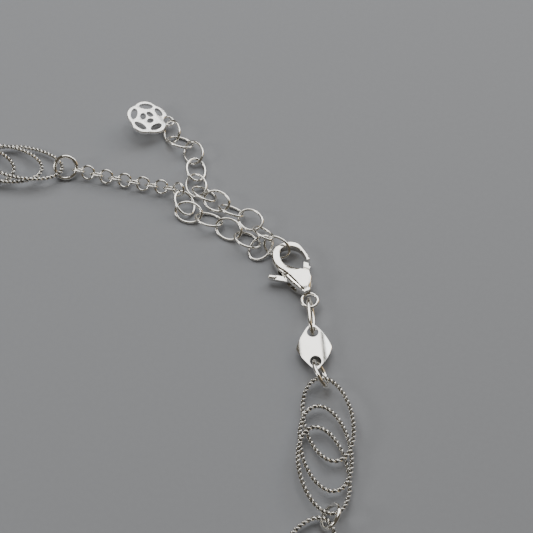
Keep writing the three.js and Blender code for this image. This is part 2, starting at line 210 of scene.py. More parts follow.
@dataclass(frozen=True)
class SilverFinish:
    """A silver surface: its colours, its gloss, its clouds and scratches in millimetres, and painted shade
    in the grooves of twisted wire.
    """

    name: str
    bright: tuple[float, float, float]
    # the dark colour: random tarnish, and also the painted shade in the grooves between twisted strands
    tarnish_and_shade: tuple[float, float, float]
    tarnish_amount: float
    gloss_low: float
    gloss_high: float
    cloud: float
    grain: float
    scratch: float
    # how far the grooves between twisted strands are darkened with painted shade
    painted_groove_shade: float = 0.0
    cloud_detail: float = 3
    grain_detail: float = 2
    scratch_depth: float = 0.02

    def material(self) -> bpy.types.Material:
        """Makes the material.

        Returns:
            A procedural metal.
        """
        desk = ShaderDesk(self.name)
        cloud = desk.noise(self.cloud, self.cloud_detail)
        grain = desk.noise(self.grain, self.grain_detail)
        shader = desk.shader.inputs
        shader["Metallic"].default_value = 1.0
        amount = cloud * self.tarnish_amount
        gloss = self.gloss_low + cloud * (self.gloss_high - self.gloss_low)
        # painted shade: the grooves between the strands are darkened towards the dark colour, and made
        # rougher
        if self.painted_groove_shade:
            groove = desk.value("ShaderNodeAttribute", {"attribute_name": GROOVE}, {}, "Fac")
            amount = amount + groove * self.painted_groove_shade
            gloss = gloss + groove * GROOVE_ROUGHNESS
        desk.feed(shader["Base Color"], desk.blend(amount, (*self.bright, 1), (*self.tarnish_and_shade, 1)))
        desk.feed(shader["Roughness"], gloss)
        depth = self.scratch_depth / MILLIMETRES
        sockets = {"Strength": self.scratch, "Distance": depth, "Height": grain}
        desk.feed(shader["Normal"], desk.value("ShaderNodeBump", {}, sockets))
        return desk.material


@dataclass(frozen=True)
class BoardFinish:
    """The matt grey board under the bracelet."""

    dark: tuple[float, float, float] = (0.304, 0.316, 0.342)
    light: tuple[float, float, float] = (0.325, 0.338, 0.365)
    grain: float = 0.6
    grain_detail: float = 4
    roughness: float = 0.9

    def material(self) -> bpy.types.Material:
        """Makes the material.

        Returns:
            A faintly mottled matt board.
        """
        desk = ShaderDesk("grey_board")
        grain = desk.noise(self.grain, self.grain_detail)
        desk.feed(desk.shader.inputs["Base Color"], desk.blend(grain, (*self.dark, 1), (*self.light, 1)))
        desk.shader.inputs["Roughness"].default_value = self.roughness
        return desk.material


class Bench:
    """Hand tools. Pieces are shaped in millimetres and brought to metres when they are set in place."""

    LOFT_WELD = 1e-6

    @staticmethod
    def take(*pieces: bpy.types.Object) -> bpy.types.Object:
        """Selects only these pieces, with the first one active.

        Args:
            *pieces: the pieces.

        Returns:
            The first piece.
        """
        bpy.ops.object.select_all(action="DESELECT")
        for piece in pieces:
            piece.select_set(True)
        bpy.context.view_layer.objects.active = pieces[0]
        return pieces[0]

    @staticmethod
    def copy(piece: bpy.types.Object) -> bpy.types.Object:
        """Copies a piece together with its mesh.

        Args:
            piece: the piece.

        Returns:
            The copy.
        """
        Bench.take(piece)
        bpy.ops.object.duplicate()
        return bpy.context.object

    @staticmethod
    def scrap(*pieces: bpy.types.Object) -> None:
        """Removes helper pieces."""
        for piece in pieces:
            bpy.data.objects.remove(piece)

    @staticmethod
    def modify(piece: bpy.types.Object, kind: str, **settings: object) -> None:
        """Adds a modifier and applies it.

        Args:
            piece: the piece.
            kind: the modifier's type.
            **settings: the modifier's settings.
        """
        Bench.take(piece)
        modifier = piece.modifiers.new(kind.lower(), kind)
        for key, setting in settings.items():
            setattr(modifier, key, setting)
        bpy.ops.object.modifier_apply(modifier=modifier.name)

    @staticmethod
    def combine(piece: bpy.types.Object, others: Sequence[bpy.types.Object], operation: str) -> None:
        """Joins pieces to a piece, or cuts them from it, and scraps them.

        Args:
            piece: the piece that stays.
            others: the pieces that are used up.
            operation: UNION or DIFFERENCE.
        """
        for other in others:
            Bench.modify(piece, "BOOLEAN", object=other, operation=operation, solver="EXACT")
        Bench.scrap(*others)

    @staticmethod
    def edit(piece: bpy.types.Object, work: Callable[[], None]) -> None:
        """Does some work on a piece in edit mode.

        Args:
            piece: the piece.
            work: what is done.
        """
        Bench.take(piece)
        bpy.ops.object.mode_set(mode="EDIT")
        work()
        bpy.ops.object.mode_set(mode="OBJECT")

    @staticmethod
    def select(piece: bpy.types.Object, test: Callable[[Vector], bool]) -> None:
        """Selects the vertices that pass a test, and no other.

        Args:
            piece: the piece.
            test: says of a vertex's place whether it is selected.
        """
        Bench.edit(piece, lambda: bpy.ops.mesh.select_all(action="DESELECT"))
        for vertex in piece.data.vertices:
            vertex.select = test(vertex.co)

    @staticmethod
    def weld(piece: bpy.types.Object, distance: float) -> None:
        """Merges doubled vertices and turns every face outwards.

        Args:
            piece: the piece.
            distance: how close doubled vertices lie, in millimetres.
        """
        def work() -> None:
            """Welds the whole mesh."""
            bpy.ops.mesh.select_all(action="SELECT")
            bpy.ops.mesh.remove_doubles(threshold=distance)
            bpy.ops.mesh.normals_make_consistent(inside=False)
        Bench.edit(piece, work)

    @staticmethod
    def move(piece: bpy.types.Object, rule: Callable[[Vector], Vector]) -> None:
        """Moves each vertex of a piece to where a rule puts it."""
        for vertex in piece.data.vertices:
            vertex.co = rule(vertex.co)

    @staticmethod
    def oval(length: float, width: float, resolution: int) -> bpy.types.Object:
        """Draws a closed oval line.

        Args:
            length: its length across X.
            width: its width across Y.
            resolution: steps in each quarter.

        Returns:
            The curve, at the origin, drawn out from a circle that is 1 mm across.
        """
        bpy.ops.object.select_all(action="DESELECT")
        bpy.ops.curve.primitive_bezier_circle_add(radius=0.5)
        curve = bpy.context.object
        curve.scale = (length, width, 1)
        bpy.ops.object.transform_apply(location=False, rotation=False, scale=True)
        for point in curve.data.splines[0].bezier_points:
            point.radius = 1
        curve.data.resolution_u = resolution
        return curve

    @staticmethod
    def loft(layers: Sequence[Sequence[Vector]]) -> bpy.types.Object:
        """Draws a circle, extrudes it once for each further layer, shapes the layers and caps both ends.

        Args:
            layers: outlines from the bottom up, anticlockwise, all with the same number of points.

        Returns:
            A closed piece.
        """
        count = len(layers[0])
        bpy.ops.object.select_all(action="DESELECT")
        bpy.ops.mesh.primitive_circle_add(vertices=count, radius=1, fill_type="NOTHING")
        piece = bpy.context.object

        def raise_walls() -> None:
            """Extrudes the walls, one unit for each layer."""
            for _ in layers[1:]:
                bpy.ops.mesh.extrude_region_move(TRANSFORM_OT_translate={"value": (0, 0, 1)})
        Bench.edit(piece, raise_walls)
        top = len(layers) - 1
        for end in (0, top):
            Bench.select(piece, lambda place: round(place.z) == end)
            Bench.edit(piece, bpy.ops.mesh.edge_face_add)

        def shaped(place: Vector) -> Vector:
            """The layer's point that a vertex stands for."""
            turn = math.atan2(place.y, place.x) / (2 * math.pi)
            return layers[round(place.z)][round(turn * count) % count]
        Bench.move(piece, shaped)
        Bench.weld(piece, Bench.LOFT_WELD)
        return piece

    @staticmethod
    def set_down(piece: bpy.types.Object, pose: Matrix, smooth_angle: float = 40) -> None:
        """Smooths a piece and puts its place and its size in metres into its mesh.

        Args:
            piece: a piece shaped in millimetres.
            pose: its place in millimetres.
            smooth_angle: edges sharper than this stay sharp, in degrees.
        """
        piece.data.transform(METRES @ pose)
        piece.data.update()
        Bench.take(piece)
        bpy.ops.object.shade_smooth_by_angle(angle=math.radians(smooth_angle))


def turned(heading: float, roll: float = 0, pitch: float = 0) -> Matrix:
    """The turn of a piece as the chain is laid.

    Args:
        heading: the way it points, in degrees from X.
        roll: its turn about its own length, in degrees.
        pitch: how far its far end is raised, in degrees.

    Returns:
        The turn.
    """
    turn = Matrix.Rotation(math.radians(heading), 4, "Z")
    turn = turn @ Matrix.Rotation(math.radians(-pitch), 4, "Y")
    return turn @ Matrix.Rotation(math.radians(roll), 4, "X")


def eased(value: float, low: float, high: float) -> float:
    """A smooth step from 0 at low to 1 at high."""
    part = min(max((value - low) / (high - low), 0.0), 1.0)
    return part * part * (3 - 2 * part)


def smooth_line(points: Sequence[Point], steps: int) -> list[Vector]:
    """A smooth line through points.

    Args:
        points: places on the line.
        steps: points in each stretch.

    Returns:
        The line without its last point.
    """
    padded = [Vector(p) for p in (points[0], *points, points[-1])]
    line = []
    for before, start, end, after in zip(padded, padded[1:], padded[2:], padded[3:]):
        for index in range(steps):
            t = index / steps
            slope_in = (end - before) / 2
            slope_out = (after - start) / 2
            bend = 2 * (start - end) + slope_in + slope_out
            swing = 3 * (end - start) - 2 * slope_in - slope_out
            line.append(start + slope_in * t + swing * t**2 + bend * t**3)
    return line


def rounded_layers(
    outline: Sequence[Vector], low: float, high: float, edge: Callable[[Vector], float], steps: int = 4,
    crown: Callable[[Vector], Point] | None = None,
) -> list[list[Vector]]:
    """Outlines of a plate with rounded edges.

    Args:
        outline: the plate seen from above, anticlockwise.
        low: height of its underside.
        high: height of its top.
        edge: radius of its edge at a point of the outline.
        steps: layers in each rounded edge.
        crown: how far its top edge runs in and down at a point, where that differs from the edge.

    Returns:
        The layers from the bottom up.
    """
    inward = []
    for before, after in zip((outline[-1], *outline[:-1]), (*outline[1:], outline[0])):
        step = (after - before).normalized()
        inward.append(Vector((-step.y, step.x)))

    def layer(angle: float, base: float, sign: int) -> list[Vector]:
        """Draws one outline of the rounded edge.

        Args:
            angle: how far round the edge it lies.
            base: height of the flat face.
            sign: 1 for the edge of the underside and -1 for that of the top.

        Returns:
            The outline's points.
        """
        ring = []
        for point, way in zip(outline, inward):
            across, deep = crown(point) if crown and sign < 0 else (edge(point), edge(point))
            flat = point + way * across * (1 - math.sin(angle))
            ring.append(Vector((flat.x, flat.y, base + sign * deep * (1 - math.cos(angle)))))
        return ring
    angles = [math.pi / 2 * index / steps for index in range(steps + 1)]
    bottom = [layer(angle, low, 1) for angle in angles]
    return bottom + [layer(angle, high, -1) for angle in reversed(angles)]


def straight_layers(outline: Sequence[Sequence[float]], low: float, high: float) -> list[list[Vector]]:
    """Outlines of a plate with square edges."""
    return [[Vector((*point, height)) for point in outline] for height in (low, high)]


def circle_outline(radius: float, count: int, middle: Point = (0, 0)) -> list[Vector]:
    """Points round a circle, anticlockwise."""
    angles = [2 * math.pi * index / count for index in range(count)]
    return [Vector(middle) + radius * Vector((math.cos(a), math.sin(a))) for a in angles]


def plain_edge(radius: float) -> Callable[[Vector], float]:
    """An edge that has the same radius all the way round."""
    return lambda point: radius


def numbered(stem: str, count: int) -> list[str]:
    """Names of a row of nodes."""
    return [f"{stem}_{index + 1}" for index in range(count)]


class Frame:
    """Where the frame's own solids lie, in millimetres."""

    DIGITS = 5
    SAMPLE_STEP = 7

    @staticmethod
    def points(node: str) -> np.ndarray:
        """Vertices of a node.

        Args:
            node: the node's name.

        Returns:
            One row for each vertex.
        """
        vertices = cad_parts[node].data.vertices
        places = np.empty(len(vertices) * 3, dtype=np.float32)
        vertices.foreach_get("co", places)
        return places.reshape(-1, 3).astype(float) * MILLIMETRES

    @staticmethod
    def middle(node: str) -> Vector:
        """Middle of a node's box."""
        low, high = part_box(node)
        return (low + high) * (MILLIMETRES / 2)

    @staticmethod
    def spread(places: np.ndarray) -> tuple[np.ndarray, np.ndarray]:
        """Middle of some points and the axes that they spread along, from the least to the most."""
        middle = places.mean(axis=0)
        return middle, np.linalg.eigh(np.cov((places - middle).T))[1]

    @staticmethod
    def ring_pose(node: str) -> Matrix:
        """Pose of a wire ring, from the way its vertices spread.

        Args:
            node: the ring's node.

        Returns:
            A pose with the ring's long axis on X and its hole along Z.
        """
        places = np.unique(Frame.points(node).round(Frame.DIGITS), axis=0)
        centre, axes = Frame.spread(places)
        along, across = Vector(axes[:, 2]), Vector(axes[:, 1])
        turn = Matrix((along, across, along.cross(across))).transposed()
        return Matrix.Translation(centre) @ turn.to_4x4()

    @staticmethod
    def move_between(node: str, other: str) -> Matrix:
        """The move that brings one node onto another of the same shape.

        The axes of both shapes agree but for their signs, so each way round is tried.

        Args:
            node: the node that is moved.
            other: the node that it comes to lie on.

        Returns:
            The move, in millimetres.
        """
        first, second = Frame.points(node), Frame.points(other)
        first_middle, first_axes = Frame.spread(first)
        second_middle, second_axes = Frame.spread(second)
        best_miss, best_turn = math.inf, None
        for signs in itertools.product((1, -1), repeat=3):
            turn = second_axes @ np.diag(signs) @ first_axes.T
            if np.linalg.det(turn) < 0:
                continue
            moved = (first - first_middle) @ turn.T + second_middle
            gaps = np.linalg.norm(moved[::Frame.SAMPLE_STEP, None, :] - second[None, :, :], axis=2)
            miss = gaps.min(axis=1).max()
            if miss < best_miss:
                best_miss, best_turn = miss, turn
        LOG.info("%s lies on %s to %.4f mm", node, other, best_miss)
        turn = Matrix(best_turn.tolist()).to_4x4()
        return Matrix.Translation(second_middle) @ turn @ Matrix.Translation(-Vector(first_middle))


class Dresser:
    """Gives finished pieces their material, body and slot, and reports them."""

    def __init__(self, finishes: dict[Slot, SilverFinish]) -> None:
        """Makes the materials.

        Args:
            finishes: the finish of each slot.
        """
        self.materials = {slot: finish.material() for slot, finish in finishes.items()}

    def dress(self, piece: bpy.types.Object, node: str, slot: Slot, body: Body = Body.BRACELET) -> None:
        """Lets a finished piece stand for a node.

        Args:
            piece: the piece, in place.
            node: the node that it replaces.
            slot: the record's slot.
            body: the body that it rides on.
        """
        piece.name = f"bright_{node}"
        piece.data.name = piece.name
        piece.data.materials.clear()
        piece.data.materials.append(self.materials[slot])
        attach(piece, body.value)
        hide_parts(node)
        LOG.info("%s: %d faces", piece.name, len(piece.data.polygons))


@dataclass
class RingFamily:
    """Rings of one size, each a bent wire with a soldered joint."""

    nodes: list[str]
    length: float
    width: float
    wire: float
    joint_angle: float = 40
    joint_size: float = 0.88
    resolution: int = 14
    wire_resolution: int = 4

    def pattern(self) -> bpy.types.Object:
        """Makes one ring at the origin.

        Returns:
            The ring.
        """
        curve = Bench.oval(self.length - self.wire, self.width - self.wire, self.resolution)
        curve.data.bevel_depth = self.wire / 2
        curve.data.bevel_resolution = self.wire_resolution
        bpy.ops.object.convert(target="MESH")
        ring = bpy.context.object
        self.mark_joint(ring)
        return ring

    def mark_joint(self, ring: bpy.types.Object) -> None:
        """Draws the wire in a little where its ends meet.

        Args:
            ring: the ring, at the origin.
        """
        half = Vector(((self.length - self.wire) / 2, (self.width - self.wire) / 2))
        angles = [math.atan2(v.co.y / half.y, v.co.x / half.x) for v in ring.data.vertices]
        wanted = math.radians(self.joint_angle)
        nearest = min(angles, key=lambda angle: abs(angle - wanted))
        seam = Vector((half.x * math.cos(nearest), half.y * math.sin(nearest), 0))
        half_step = math.pi / (QUARTERS * self.resolution)
        reach = half_step * half.y
        Bench.select(ring, lambda place: abs((place - seam).dot(self.way_at(nearest, half))) < reach
                     and (place - seam).length < self.wire)
        size = self.joint_size
        Bench.edit(ring, lambda: bpy.ops.transform.resize(value=(size, size, size), center_override=seam))

    @staticmethod
    def way_at(angle: float, half: Vector) -> Vector:
        """The way the wire runs at an angle round the ring."""
        return Vector((-half.x * math.sin(angle), half.y * math.cos(angle), 0)).normalized()

    def build(self, dresser: Dresser) -> None:
        """Sets a copy of the ring at each node.

        Args:
            dresser: gives each ring its finish.
        """
        pattern = self.pattern()
        for node in self.nodes:
            ring = Bench.copy(pattern)
            Bench.set_down(ring, Frame.ring_pose(node))
            dresser.dress(ring, node, Slot.POLISHED)
        Bench.scrap(pattern)


@dataclass
class FiligreeLinks:
    """Links of three interlaced ovals of two-strand twisted wire."""

    count: int = FILIGREE_LINKS
    length: float = 11.3
    width: float = 6.28
    wire: float = 0.6
    lay: float = 1.15
    strand: float = 0.15
    strand_offset: float = 0.15
    strand_sides: int = 10
    steps_a_turn: int = 12
    path_steps: int = 32
    weld: float = 1e-3
    smooth_angle: float = 60
    groove_deep: float = 0.4
    groove_edge: float = 0.84
    alongs: tuple[float, ...] = (-3.2, 0.5, 3.2)
    laces: tuple[float, ...] = (9, 0, -9)
    oval_turn: float = 17
    first_from_pin: Point = (2.6348, -21.8856)
    first_height: float = 1.0843
    first_heading: float = -96

    def twisted_oval(self) -> bpy.types.Object:
        """Twists two strands and bends them into a closed oval.

        Returns:
            The oval, at the origin.
        """
        path = Bench.oval(self.length - self.wire, self.width - self.wire, self.path_steps)
        path.data.use_stretch = True
        path.data.use_deform_bounds = True
        round_length = path.data.splines[0].calc_length()
        turns = round(round_length / self.lay)
        strands = []
        for side in (1, -1):
            bpy.ops.object.select_all(action="DESELECT")
            bpy.ops.mesh.primitive_circle_add(
                vertices=self.strand_sides, radius=self.strand,
                location=(0, side * self.strand_offset, 0), rotation=(0, math.pi / 2, 0),
            )
            bpy.ops.object.transform_apply()
            strands.append(bpy.context.object)
        rope = Bench.take(*strands)
        bpy.ops.object.join()
        steps = turns * self.steps_a_turn
        Bench.modify(
            rope, "SCREW", axis="X", angle=turns * 2 * math.pi, screw_offset=round_length,
            steps=steps, render_steps=steps,
        )
        self.mark_grooves(rope)
        Bench.modify(rope, "CURVE", object=path, deform_axis="POS_X")
        Bench.scrap(path)
        Bench.weld(rope, self.weld)
        return rope

    def mark_grooves(self, rope: bpy.types.Object) -> None:
        """Notes on each vertex how deep it lies between the strands, which drives the painted shade and the
        extra roughness there.

        Args:
            rope: the straight rope, along X.
        """
        depth = rope.data.attributes.new(GROOVE, "FLOAT", "POINT")
        reach = self.strand + self.strand_offset
        for vertex, note in zip(rope.data.vertices, depth.data):
            out = math.hypot(vertex.co.y, vertex.co.z) / reach
            note.value = 1 - eased(out, self.groove_deep, self.groove_edge)

    def pattern(self) -> bpy.types.Object:
        """Makes one link at the origin.

        Returns:
            The link.
        """
        oval = self.twisted_oval()
        ovals = []
        for along, lace in zip(self.alongs, self.laces):
            laid = Bench.copy(oval)
            laid.data.transform(Matrix.Translation((along, 0, 0)) @ turned(self.oval_turn, lace))
            ovals.append(laid)
        Bench.scrap(oval)
        link = Bench.take(*ovals)
        bpy.ops.object.join()
        return link

    def build(self, dresser: Dresser) -> None:
        """Sets a copy of the link at each node.

        Args:
            dresser: gives each link its finish.
        """
        pattern = self.pattern()
        pin = Frame.middle("clasp_pin")
        place = (pin.x + self.first_from_pin[0], pin.y + self.first_from_pin[1], self.first_height)
        first_pose = Matrix.Translation(place) @ turned(self.first_heading)
        nodes = numbered("filigree_link", self.count)
        for node in nodes:
            link = Bench.copy(pattern)
            Bench.set_down(link, Frame.move_between(nodes[0], node) @ first_pose, self.smooth_angle)
            dresser.dress(link, node, Slot.TWISTED)
        Bench.scrap(pattern)


@dataclass(frozen=True)
class PetalCut:
    """An oval opening: its angle in degrees, how far out its middle is, and its half sizes."""

    angle: float
    reach: float
    across: float
    deep: float


@dataclass
class Flower:
    """Pierced flower with five petals and an eye."""

    from_pin: Point = (-20.4152, 25.7744)
    height: float = 1.76
    heading: float = 2
    pitch: float = -15
    thick: float = 0.5
    radius: float = 2.55
    lobe: float = 0.3
    petals: int = 5
    petal_angle: float = 28
    outline_steps: int = 120
    edge: float = 0.16
    eye_reach: float = 2.85
    eye_radius: float = 0.75
    eye_wire: float = 0.34
    cut_steps: int = 28
    cut_edge: float = 0.09
    cut_edge_segments: int = 3
    cuts: tuple[PetalCut, ...] = (
        PetalCut(98, 1.88, 0.98, 0.48),
        PetalCut(172, 1.88, 0.95, 0.47),
        PetalCut(240, 1.88, 0.92, 0.46),
        PetalCut(310, 1.88, 0.92, 0.46),
        PetalCut(38, 1.88, 0.76, 0.44),
        PetalCut(175, 0.62, 0.58, 0.42),
        PetalCut(62, 0.64, 0.52, 0.38),
        PetalCut(305, 0.64, 0.52, 0.38),
    )

    def outline(self) -> list[Vector]:
        """Draws the petals.

        Returns:
            Points round them, anticlockwise.
        """
        points = []
        for point in circle_outline(1, self.outline_steps):
            angle = math.atan2(point.y, point.x) - math.radians(self.petal_angle)
            points.append(point * (self.radius + self.lobe * abs(math.cos(self.petals / 2 * angle))))
        return points

    def cutter(self, cut: PetalCut) -> bpy.types.Object:
        """Makes the tool for one cut.

        Args:
            cut: the opening.

        Returns:
            An oval post.
        """
        turn = Matrix.Rotation(math.radians(cut.angle), 2)
        outline = [
            turn @ Vector((cut.reach + cut.deep * point.x, cut.across * point.y))
            for point in circle_outline(1, self.cut_steps)
        ]
        return Bench.loft(straight_layers(outline, -self.thick, self.thick))

    def build(self, dresser: Dresser) -> None:
        """Makes the flower and sets it in place.

        Args:
            dresser: gives it its finish.
        """
        half = self.thick / 2
        plate = Bench.loft(rounded_layers(self.outline(), -half, half, plain_edge(self.edge)))
        bore = circle_outline(self.eye_radius, self.cut_steps, (self.eye_reach, 0))
        tools = [self.cutter(cut) for cut in self.cuts]
        tools.append(Bench.loft(straight_layers(bore, -self.thick, self.thick)))
        Bench.combine(plate, tools, "DIFFERENCE")
        Bench.modify(
            plate, "BEVEL", width=self.cut_edge, segments=self.cut_edge_segments, limit_method="ANGLE",
            angle_limit=math.radians(BEVEL_ANGLE),
        )
        size = 2 * self.eye_radius + self.eye_wire
        eye = RingFamily([], size, size, self.eye_wire).pattern()
        eye.data.transform(Matrix.Translation((self.eye_reach, 0, 0)))
        Bench.combine(plate, [eye], "UNION")
        pin = Frame.middle("clasp_pin")
        place = (pin.x + self.from_pin[0], pin.y + self.from_pin[1], self.height)
        Bench.set_down(plate, Matrix.Translation(place) @ turned(self.heading, 0, self.pitch))
        dresser.dress(plate, "flower_charm", Slot.CAST)


@dataclass
class Clasp:
    """Lobster clasp, drawn with its eyelet at the origin and its hook towards +Y."""

    turn: float = 17
    pivot: Point = (-0.3, 2.9)
    thick: float = 2.1
    right_side: tuple[Point, ...] = ((0.35, 0.9), (0.9, 2.0), (1.25, 3.0), (1.12, 3.85))
    hook_inside: tuple[Point, ...] = (
        (0.3, 4.3), (-0.75, 5.05), (-1.5, 5.85), (-1.68, 7.1), (-1.1, 8.05),
        (0, 8.05), (0.95, 7.4), (1.3, 6.4), (1.36, 5.4),
    )
    outside: tuple[Point, ...] = (
        (1.78, 5.4), (1.74, 6.4), (1.2, 8.1), (0.2, 8.8), (-1.1, 8.8), (-2.3, 8.2),
        (-2.75, 6.9), (-2.6, 5.6), (-2.2, 4.3), (-1.55, 2.6), (-0.35, 0.9),
    )
    outline_steps: int = 7
    round_steps: int = 32
    edge_steps: int = 7
    thinning_steps: int = 8
    body_edge: float = 0.42
    hook_edge: float = 0.2
    corner_edge: float = 0.3
    corner_reach: float = 0.6
    hook_edge_lead: float = 0.6
    flank_across: float = 0.95
    flank_deep: float = 1.25
    flank_left_from: float = 0.1
    flank_left_full: float = 0.9
    flank_up_from: float = 1.1
    flank_up_full: float = 2.6
    hook_flank_left_from: float = 1.8
    hook_flank_left_full: float = 2.15
    hook_flank_up_full: float = 6.8
    hook_flank_loss: float = 0.75
    hook_low: float = 0.6
    hook_high: float = 1.66
    hook_from: float = 3.6
    hook_full: float = 6.2
    neck_low: float = 0.45
    neck_high: float = 1.95
    neck_from: float = 2.0
    neck_full: float = 0.9
    eyelet_radius: float = 0.98
    eyelet_wire: float = 0.44
    eyelet_height: float = 1.15
    slot: tuple[Point, ...] = ((-4, 2.2), (-0.9, 1.9), (2.5, 1.9), (2.5, 5.2), (-4, 5.2))
    slot_low: float = 0.7
    slot_high: float = 1.4
    pin_radius: float = 0.3
    pin_low: float = 0.4
    pin_high: float = 1.7
    pin_play: float = 0.1
    lever_low: float = 0.82
    lever_high: float = 1.28
    lever_edge: float = 0.08
    hub_radius: float = 0.78
    gate_inner: float = 1.92
    gate_outer: float = 2.72
    gate_from: float = 36
    gate_to: float = 64
    gate_taper: float = 12
    gate_low: float = 0.4
    gate_high: float = 1.7
    gate_edge: float = 0.07
    gate_arm: float = 0.7
    gate_inset: float = 0.2
    gate_steps: int = 8
    thumb_reach: float = 3.55
    thumb_angle: float = 152
    thumb_arm: float = 0.62
    thumb_length: float = 1.15
    thumb_width: float = 0.62
    thumb_low: float = 0.65
    thumb_high: float = 1.45
    thumb_edge: float = 0.22

    def pose(self) -> Matrix:
        """Works out the place of the eyelet from the pin.

        Returns:
            The clasp's pose, in millimetres.
        """
        pin = Frame.middle("clasp_pin")
        turn = turned(self.turn)
        return Matrix.Translation(Vector((pin.x, pin.y, 0)) - turn @ Vector((*self.pivot, 0))) @ turn

    def edge_at(self, point: Vector) -> float:
        """Works out the body's rounded edge, which is narrower on the hook and at corners.

        Args:
            point: a place on the outline.

        Returns:
            The edge's radius there.
        """
        part = eased(point.y, self.hook_from, self.hook_full - self.hook_edge_lead)
        radius = self.body_edge + (self.hook_edge - self.body_edge) * part
        corners = (self.right_side[0], self.right_side[-1], self.hook_inside[0], self.outside[-1])
        nearest = min((point - Vector(corner)).length for corner in corners)
        return radius * (self.corner_edge + (1 - self.corner_edge) * eased(nearest, 0, self.corner_reach))

    def crown_at(self, point: Vector) -> Point:
        """Works out the body's top edge: a wide soft flank on the left and a plain edge elsewhere.

        Args:
            point: a place on the outline.

        Returns:
            How far the top edge runs in and how far down there.
        """
        edge = self.edge_at(point)
        if point.y < self.hook_from:
            left = eased(-point.x, self.flank_left_from, self.flank_left_full)
            left *= eased(point.y, self.flank_up_from, self.flank_up_full)
        else:
            left = eased(-point.x, self.hook_flank_left_from, self.hook_flank_left_full)
            left *= 1 - self.hook_flank_loss * eased(point.y, self.hook_from, self.hook_flank_up_full)
        return edge + left * (self.flank_across - edge), edge + left * (self.flank_deep - edge)

    def thinned(self, place: Vector) -> Vector:
        """Makes hook and neck thinner than the body.

        Args:
            place: a point of the even plate.

        Returns:
            Where the point goes.
        """
        hook = eased(place.y, self.hook_from, self.hook_full)
        neck = eased(-place.y, -self.neck_from, -self.neck_full)
        low = hook * self.hook_low + neck * self.neck_low
        high = self.thick + hook * (self.hook_high - self.thick) + neck * (self.neck_high - self.thick)
        return Vector((place.x, place.y, low + (high - low) * place.z / self.thick))

    def post(self, radius: float, low: float, high: float, edge: float = 0) -> bpy.types.Object:
        """A round post on the pivot.

        Args:
            radius: its radius.
            low: height of its underside.
            high: height of its top.
            edge: radius of its rounded edges, or 0.

        Returns:
            The post.
        """
        outline = circle_outline(radius, self.round_steps, self.pivot)
        if edge:
            return Bench.loft(rounded_layers(outline, low, high, plain_edge(edge)))
        return Bench.loft(straight_layers(outline, low, high))

    def body(self) -> bpy.types.Object:
        """Makes the casting with its hook, eyelet, slot and pin pocket.

        Returns:
            The body.
        """
        outline = []
        for side in (self.right_side, self.hook_inside, self.outside):
            outline += smooth_line(side, self.outline_steps) + [Vector(side[-1])]
        layers = rounded_layers(outline, 0, self.thick, self.edge_at, self.edge_steps, self.crown_at)
        plate = Bench.loft(layers)
        for start, stop in ((self.neck_full, self.neck_from), (self.hook_from, self.hook_full)):
            for index in range(self.thinning_steps + 1):
                self.cut_across(plate, start + (stop - start) * index / self.thinning_steps)
        Bench.move(plate, self.thinned)
        slot = Bench.loft(straight_layers(self.slot, self.slot_low, self.slot_high))
        pocket = self.post(
            self.pin_radius + self.pin_play, self.pin_low - self.pin_play, self.pin_high + self.pin_play
        )
        size = 2 * self.eyelet_radius + self.eyelet_wire
        eyelet = RingFamily([], size, size, self.eyelet_wire, joint_size=1).pattern()
        eyelet.data.transform(Matrix.Translation((0, 0, self.eyelet_height)))
        Bench.combine(plate, [slot, pocket], "DIFFERENCE")
        Bench.combine(plate, [eyelet], "UNION")
        return plate

    @staticmethod
    def cut_across(plate: bpy.types.Object, height: float) -> None:
        """Adds a line of edges across a plate.

        Args:
            plate: the plate.
            height: where the line crosses Y.
        """
        def work() -> None:
            """Cuts the whole mesh along a plane."""
            bpy.ops.mesh.select_all(action="SELECT")
            bpy.ops.mesh.bisect(plane_co=(0, height, 0), plane_no=(0, 1, 0))
        Bench.edit(plate, work)

    def arm(self, angle: float, reach: float, width: float) -> bpy.types.Object:
        """A flat arm from the pivot.

        Args:
            angle: the way it points, in degrees.
            reach: its length.
            width: its width.

        Returns:
            The arm.
        """
        turn = Matrix.Rotation(math.radians(angle), 2)
        half = width / 2
        corners = ((0, -half), (reach, -half), (reach, half), (0, half))
        outline = [Vector(self.pivot) + turn @ Vector(corner) for corner in corners]
        return Bench.loft(straight_layers(outline, self.lever_low, self.lever_high))

    def gate(self) -> bpy.types.Object:
        """The block that closes the hook.

        Returns:
            The gate.
        """
        def arc(radius: float, start: float, stop: float) -> list[Vector]:
            """Draws an arc round the pivot.

            Args:
                radius: its radius.
                start: the angle of its first point, in degrees.
                stop: the angle of its last point, in degrees.

            Returns:
                The arc's points.
            """
            steps = self.gate_steps
            angles = [math.radians(start + (stop - start) * index / steps) for index in range(steps + 1)]
            return [Vector(self.pivot) + radius * Vector((math.cos(a), math.sin(a))) for a in angles]
        outline = arc(self.gate_outer, self.gate_from + self.gate_taper, self.gate_to)
        outline += arc(self.gate_inner, self.gate_to, self.gate_from)
        return Bench.loft(rounded_layers(outline, self.gate_low, self.gate_high, plain_edge(self.gate_edge)))

    def thumb_tab(self) -> bpy.types.Object:
        """The tab at the end of the thumb arm.

        Returns:
            The tab.
        """
        turn = Matrix.Rotation(math.radians(self.thumb_angle), 2)
        half = self.thumb_width / 2
        straight = self.thumb_length / 2 - half
        outline = []
        for point in circle_outline(half, self.round_steps):
            side = math.copysign(straight, point.x)
            outline.append(Vector(self.pivot) + turn @ Vector((self.thumb_reach + side + point.x, point.y)))
        edge = plain_edge(self.thumb_edge)
        return Bench.loft(rounded_layers(outline, self.thumb_low, self.thumb_high, edge))

